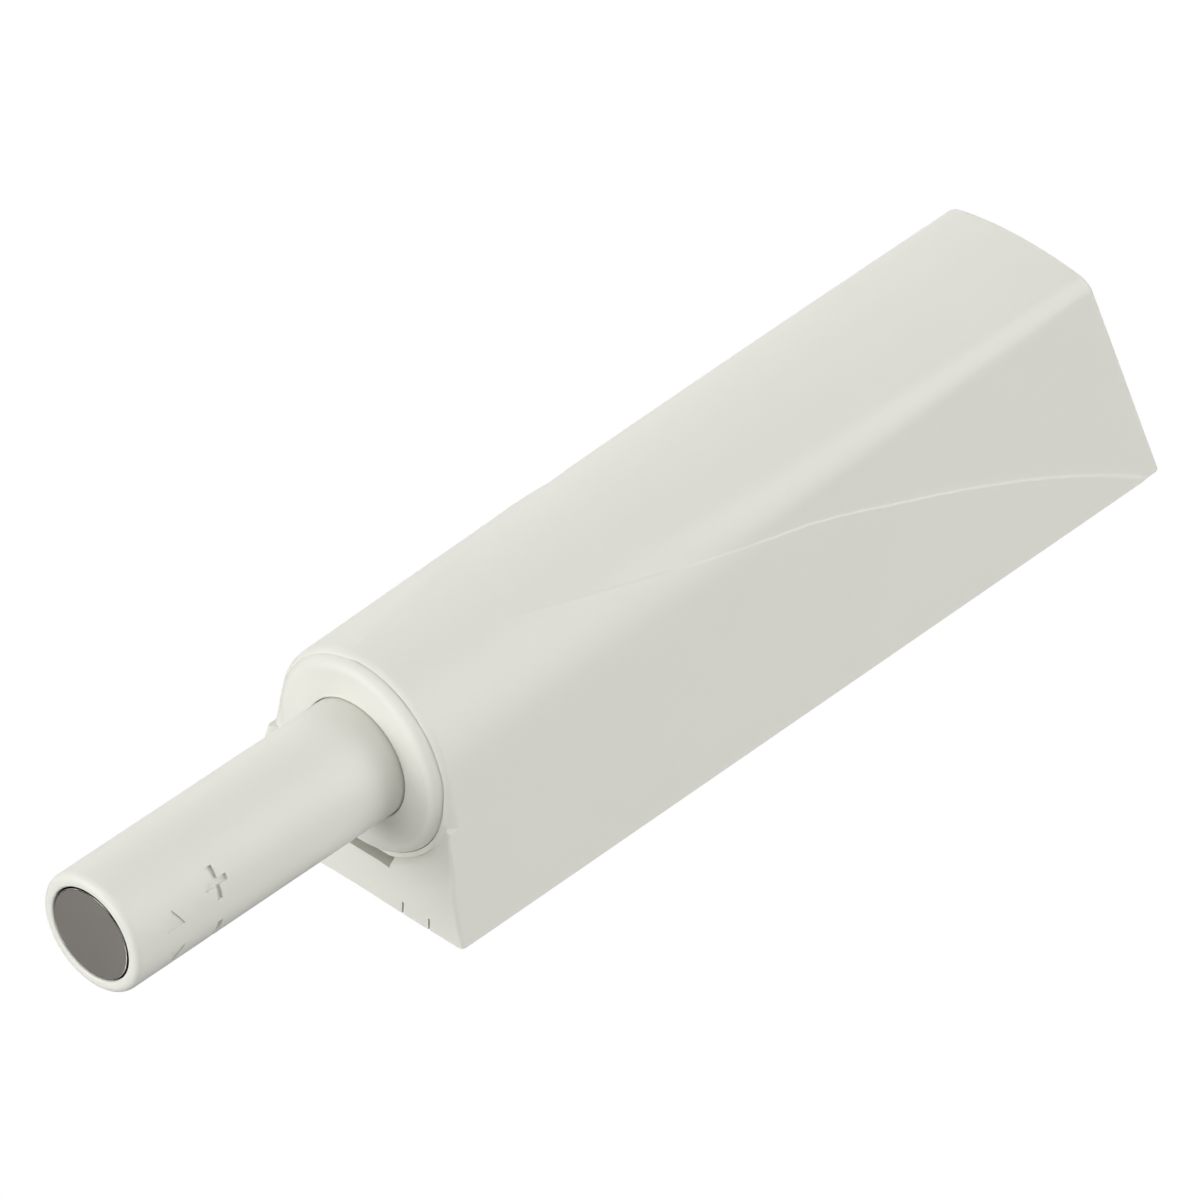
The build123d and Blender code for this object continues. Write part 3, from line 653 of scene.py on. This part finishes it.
def mark_plus(s, angle, d0, along, across, half, depth):
    us = sorted(set(np.round(np.concatenate([np.linspace(-across, across, 9), [-half, half]]), 6)))
    vs = sorted(set(np.round([-along, -half, half, along], 6)))
    inside = lambda i, j: (
        0 <= i < len(us) - 1 and 0 <= j < len(vs) - 1
        and (abs(us[i] + us[i + 1]) / 2 < half or abs(vs[j] + vs[j + 1]) / 2 < half)
    )
    at = {}

    def v(i, j, top):
        if (i, j, top) not in at:
            at[i, j, top] = s.add([on_tube(angle, us[i], d0 + vs[j], 4.4 if top else TUBE_R - depth)])[0]
        return at[i, j, top]

    for i in range(len(us) - 1):
        for j in range(len(vs) - 1):
            if not inside(i, j):
                continue
            for top in (False, True):
                s.faces.append((v(i, j, top), v(i + 1, j, top), v(i + 1, j + 1, top), v(i, j + 1, top)))
            for (a, b), (c, e), n in (
                ((i, j), (i, j + 1), (i - 1, j)), ((i + 1, j), (i + 1, j + 1), (i + 1, j)),
                ((i, j), (i + 1, j), (i, j - 1)), ((i, j + 1), (i + 1, j + 1), (i, j + 1)),
            ):
                if not inside(*n):
                    s.faces.append((v(a, b, False), v(c, e, False), v(c, e, True), v(a, b, True)))


def mark_triangle(s, tip_angle, base_angle, d0, half, depth):
    mid = (tip_angle + base_angle) / 2
    w = (TUBE_R - 0.22) * math.radians(base_angle - tip_angle) / 2
    rows = []
    for k in np.linspace(1, -1, 9):
        h = half * (1 - k) / 2
        for e in (h, -h):
            rows.append([s.add([on_tube(mid, w * k, d0 + e, r)])[0] for r in (TUBE_R - depth, 4.4)])
    for k in range(0, 16, 2):
        a, b, c, e = rows[k], rows[k + 1], rows[k + 2], rows[k + 3]
        for top in (0, 1):
            s.faces.append((a[top], b[top], e[top], c[top]) if k else (a[top], e[top], c[top]))
        s.faces.append((a[0], c[0], c[1], a[1]))
        s.faces.append((b[0], e[0], e[1], b[1]) if k else (a[0], e[0], e[1], a[1]))
    s.faces.append((rows[16][0], rows[17][0], rows[17][1], rows[16][1]))


def subtract(base, tool_mesh, name):
    tool = bpy.data.objects.new("cutter", tool_mesh)
    raw = bpy.data.objects.new("raw", base)
    for o in (tool, raw):
        bpy.context.scene.collection.objects.link(o)
    cut = raw.modifiers.new("cut", "BOOLEAN")
    cut.object, cut.operation, cut.solver = tool, "DIFFERENCE", "EXACT"
    bpy.context.view_layer.update()
    me = bpy.data.meshes.new_from_object(raw.evaluated_get(bpy.context.evaluated_depsgraph_get()))
    me.name = name
    bpy.data.objects.remove(raw)
    bpy.data.objects.remove(tool)
    return me


marks = Skin()
mark_plus(marks, 63.4, 6.92, 0.90, 1.10, 0.22, 0.20)
mark_plus(marks, 118.9, 6.92, 0.24, 1.10, 0.24, 0.24)
mark_triangle(marks, 61.2, 79.6, 3.29, 0.75, 0.11)
mark_triangle(marks, 120.8, 102.4, 3.29, 0.75, 0.11)
tube_mesh = subtract(lathe("tube", tube_profile, 288), marks.mesh("marks"), "plunger_tube_skin")
finish_shading(tube_mesh)
tube = new_object("tube", tube_mesh, "plunger")
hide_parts("plunger_tube")

# flat face, plated rounded edge, and a ring low in the gap to the pocket; the edge's outer part, the flank and the
# ring are painted near-black, painted shade for the shadowed gap
magnet_profile = [
    (0.05, 0.0), (0.05, 2.965), (0.062, 3.000), (0.09, 3.026), (0.13, 3.040), (0.19, 3.045), (0.30, 3.045), (0.30, 3.175),
    (0.60, 3.175), (0.60, 3.105), (3.38, 3.105), (3.38, 0.0),
]
# material index 2 is the near-black painted shade of the gap round the magnet
magnet_mesh = lathe("tip_magnet_skin", magnet_profile, 256, mats=[0, 1, 1, 2, 2, 2, 2, 2, 2, 1, 1, 1])
finish_shading(magnet_mesh, 25)
magnet = new_object("magnet", magnet_mesh, "plunger")
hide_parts("tip_magnet")


# ------------------------------------------------------------------ main spring
def coil(name, d0, d1, radius, wire, turns, height):
    steps, around = int(turns * 26), 10
    path = []
    for k in range(steps + 1):
        t = k / steps * turns
        e = 1.1  # closed end turns
        lo, hi = 0.06 * min(t, e), 0.06 * min(turns - t, e)
        free = float(np.clip((t - e) / (turns - 2 * e), 0, 1))
        d = d0 + wire + lo + free * (d1 - d0 - 2 * wire - 2 * 0.06 * e) + (0.06 * e - hi)
        a = 2 * math.pi * t
        path.append((radius * math.cos(a), d, height + radius * math.sin(a)))
    path = np.array(path)
    tang = np.gradient(path, axis=0)
    tang /= np.linalg.norm(tang, axis=1)[:, None]
    s = Skin()
    rings = []
    for p, t in zip(path, tang):
        out = np.array((p[0], 0, p[2] - height)) / radius
        out = out - t * (out @ t)
        out /= np.linalg.norm(out)
        side = np.cross(t, out)
        rings.append(s.add([
            tuple(p + wire * (math.cos(q) * out + math.sin(q) * side))
            for q in np.linspace(0, 2 * math.pi, around, endpoint=False)
        ]))
    for a, b in zip(rings, rings[1:]):
        s.strip(a, b, closed=True)
    s.faces.append(tuple(rings[0]))
    s.faces.append(tuple(rings[-1]))
    return s.mesh(name)


spring = new_object("spring", coil("spring", 36.0, 77.3, 1.75, 0.25, 20, -1.35), "housing")
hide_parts("main_spring")

# ------------------------------------------------------------------ materials
def material(name, color, rough, spread=0.012, grain=0.00018, bump=0.0, metal=0.0, sheen=0.0, spec=0.5):
    """Moulded or ground surface: faint clouding of the colour, varied gloss and a fine skin."""
    m = bpy.data.materials.new(name)
    m.use_nodes = True
    nt = m.node_tree
    bs = nt.nodes["Principled BSDF"]
    bs.inputs["Metallic"].default_value = metal
    bs.inputs["Specular IOR Level"].default_value = spec
    tc = nt.nodes.new("ShaderNodeTexCoord")

    def noise(size, detail, rough_):
        n = nt.nodes.new("ShaderNodeTexNoise")
        n.inputs["Scale"].default_value = 1 / size
        n.inputs["Detail"].default_value = detail
        n.inputs["Roughness"].default_value = rough_
        nt.links.new(tc.outputs["Object"], n.inputs["Vector"])
        return n

    cloud = noise(0.009, 3.0, 0.5)
    ramp = nt.nodes.new("ShaderNodeValToRGB")
    lo, hi = [c * (1 - spread) for c in color], [min(1, c * (1 + spread)) for c in color]
    ramp.color_ramp.elements[0].position, ramp.color_ramp.elements[1].position = 0.3, 0.7
    ramp.color_ramp.elements[0].color = (*lo, 1)
    ramp.color_ramp.elements[1].color = (*hi, 1)
    nt.links.new(cloud.outputs["Fac"], ramp.inputs["Fac"])
    nt.links.new(ramp.outputs["Color"], bs.inputs["Base Color"])
    fine = noise(grain * 3, 4.0, 0.6)
    rr = nt.nodes.new("ShaderNodeMapRange")
    rr.inputs["To Min"].default_value, rr.inputs["To Max"].default_value = rough - 0.05, rough + 0.05
    nt.links.new(fine.outputs["Fac"], rr.inputs["Value"])
    nt.links.new(rr.outputs["Result"], bs.inputs["Roughness"])
    skin = noise(grain, 2.0, 0.5)
    bp = nt.nodes.new("ShaderNodeBump")
    bp.inputs["Strength"].default_value = 0.35
    bp.inputs["Distance"].default_value = bump
    nt.links.new(skin.outputs["Fac"], bp.inputs["Height"])
    nt.links.new(bp.outputs["Normal"], bs.inputs["Normal"])
    return m


plastic = material("housing_plastic", (0.7765, 0.775, 0.7120), 0.50, spread=0.006, grain=0.00010, bump=0.0000015)
inner_plastic = material("inner_plastic", (0.60, 0.60, 0.58), 0.42, grain=0.00015, bump=0.000003)
magnet_grey = material("magnet_grey", (0.186, 0.175, 0.159), 0.38, spread=0.04, grain=0.00012, bump=0.000004)
zinc = material("zinc_plated_steel", (0.60, 0.61, 0.63), 0.35, metal=1.0, grain=0.0001, bump=0.000003)
steel = material("spring_steel", (0.52, 0.53, 0.55), 0.28, metal=1.0, grain=0.00008, bump=0.000002)
LOOK = {
    "mounting_plate": plastic, "cartridge_barrel": plastic, "plunger_tube": plastic, "tip_magnet": magnet_grey,
    "magnet_backing_disc": zinc, "guide_ring": inner_plastic, "slide_carriage": inner_plastic,
    "barrel_end_cap": inner_plastic, "latch_follower": steel, "follower_spring": steel, "main_spring": steel,
}
nickel = material("nickel_plate", (0.66, 0.64, 0.61), 0.24, metal=1.0, grain=0.00008, bump=0.000001)
# near-black painted shade: stands in for the shadow in the gap round the magnet
painted_gap_shade = material("painted_gap_shade", (0.007, 0.0065, 0.006), 0.80, grain=0.0001, spec=0.05)
for ob, looks in ((cover, [plastic]), (tube, [plastic]), (magnet, [magnet_grey, nickel, painted_gap_shade]), (spring, [steel])):
    for look in looks:
        ob.data.materials.append(look)
for name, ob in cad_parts.items():
    if name in LOOK:
        ob.data.materials.clear()
        ob.data.materials.append(LOOK[name])

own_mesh(spring)

# ------------------------------------------------------------------ floor, light, camera
FLOOR = 1.0
s = 3.0
me = bpy.data.meshes.new("floor")
me.from_pydata([(-s, -s, 0), (s, -s, 0), (s, s, 0), (-s, s, 0)], [], [(0, 1, 2, 3)])
floor = bpy.data.objects.new("floor", me)
bpy.context.scene.collection.objects.link(floor)
fm = bpy.data.materials.new("floor")
fm.use_nodes = True
nt = fm.node_tree
nt.nodes.clear()
em = nt.nodes.new("ShaderNodeEmission")
em.inputs[1].default_value = FLOOR
out = nt.nodes.new("ShaderNodeOutputMaterial")
nt.links.new(em.outputs[0], out.inputs[0])
me.materials.append(fm)
floor.visible_diffuse = floor.visible_glossy = floor.visible_shadow = False

WORLD = 0.0000
w = bpy.data.worlds.new("studio")
w.use_nodes = True
bpy.context.scene.world = w
w.node_tree.nodes["Background"].inputs[0].default_value = (1, 1, 1, 1)
w.node_tree.nodes["Background"].inputs[1].default_value = WORLD

# softboxes: azimuth (0 looks along +Y, 90 along -X), elevation, angular size in degrees, and how bright a white
# surface that faces the box gets
LIGHTS = [
    ("box_01", 0, -45, 30, 0.1541),
    ("box_02", 120, -45, 30, 0.1856),
    ("box_03", -60, -45, 30, 0.0076),
    ("box_04", 18, -18, 30, 0.0498),
    ("box_05", 54, -18, 30, 0.0175),
    ("box_06", 90, -18, 30, 0.0828),
    ("box_07", -126, -18, 30, 0.0820),
    ("box_08", -90, -18, 30, 0.0177),
    ("box_09", 0, 10, 30, 0.3030),
    ("box_10", 51, 10, 30, 0.0364),
    ("box_11", 129, 10, 30, 0.2123),
    ("box_12", 154, 10, 30, 0.0589),
    ("box_13", -154, 10, 30, 0.0836),
    ("box_14", -129, 10, 30, 0.1195),
    ("box_15", -103, 10, 30, 0.0958),
    ("box_16", -77, 10, 30, 0.1031),
    ("box_17", -26, 10, 30, 0.4312),
    ("box_18", 80, 38, 30, 0.0776),
    ("box_19", 113, 38, 30, 0.1767),
    ("box_20", 146, 38, 30, 0.1980),
    ("box_21", -149, 38, 30, 0.0579),
    ("box_22", -116, 38, 30, 0.0441),
    ("box_23", -18, 38, 30, 0.0675),
    ("box_24", 20, 64, 30, 0.0995),
    ("box_25", -134, 64, 30, 0.0750),
    ("box_26", -31, 64, 30, 0.0280),
    ("box_27", 0, 88, 30, 0.0947),
]
CENTRE, REACH = Vector((0, -0.012, 0.009)), 0.8
for name, az, el, size, power in LIGHTS:
    la = bpy.data.lights.new(name, "AREA")
    la.shape = "DISK"
    la.size = 2 * REACH * math.tan(math.radians(size / 2))
    la.energy = power * math.pi * math.pi * (la.size / 2) ** 2 / math.sin(math.radians(size / 2)) ** 2
    lo = bpy.data.objects.new(name, la)
    a, e = math.radians(az), math.radians(el)
    v = Vector((math.sin(a) * math.cos(e), -math.cos(a) * math.cos(e), math.sin(e)))
    lo.matrix_world = Matrix.Translation(CENTRE + v * REACH) @ v.to_track_quat("Z", "Y").to_matrix().to_4x4()
    bpy.context.scene.collection.objects.link(lo)

az, el = math.radians(43.12232), math.radians(38.71525)
r = Vector((math.cos(az), math.sin(az), 0))
b = Vector((math.sin(az) * math.cos(el), -math.cos(az) * math.cos(el), math.sin(el)))
u = b.cross(r)
cam = bpy.data.cameras.new("camera")
cam.lens = 36 * 10204.288 / 1201
cam.sensor_width = 36
cam.clip_start = 0.01
cam.clip_end = 10
co = bpy.data.objects.new("camera", cam)
m = Matrix((r, u, b)).transposed().to_4x4()
m.translation = Vector((0.33154956, -0.36434731, 0.39779198))
co.matrix_world = m
bpy.context.scene.collection.objects.link(co)
bpy.context.scene.camera = co
bpy.context.scene.view_settings.view_transform = "Standard"
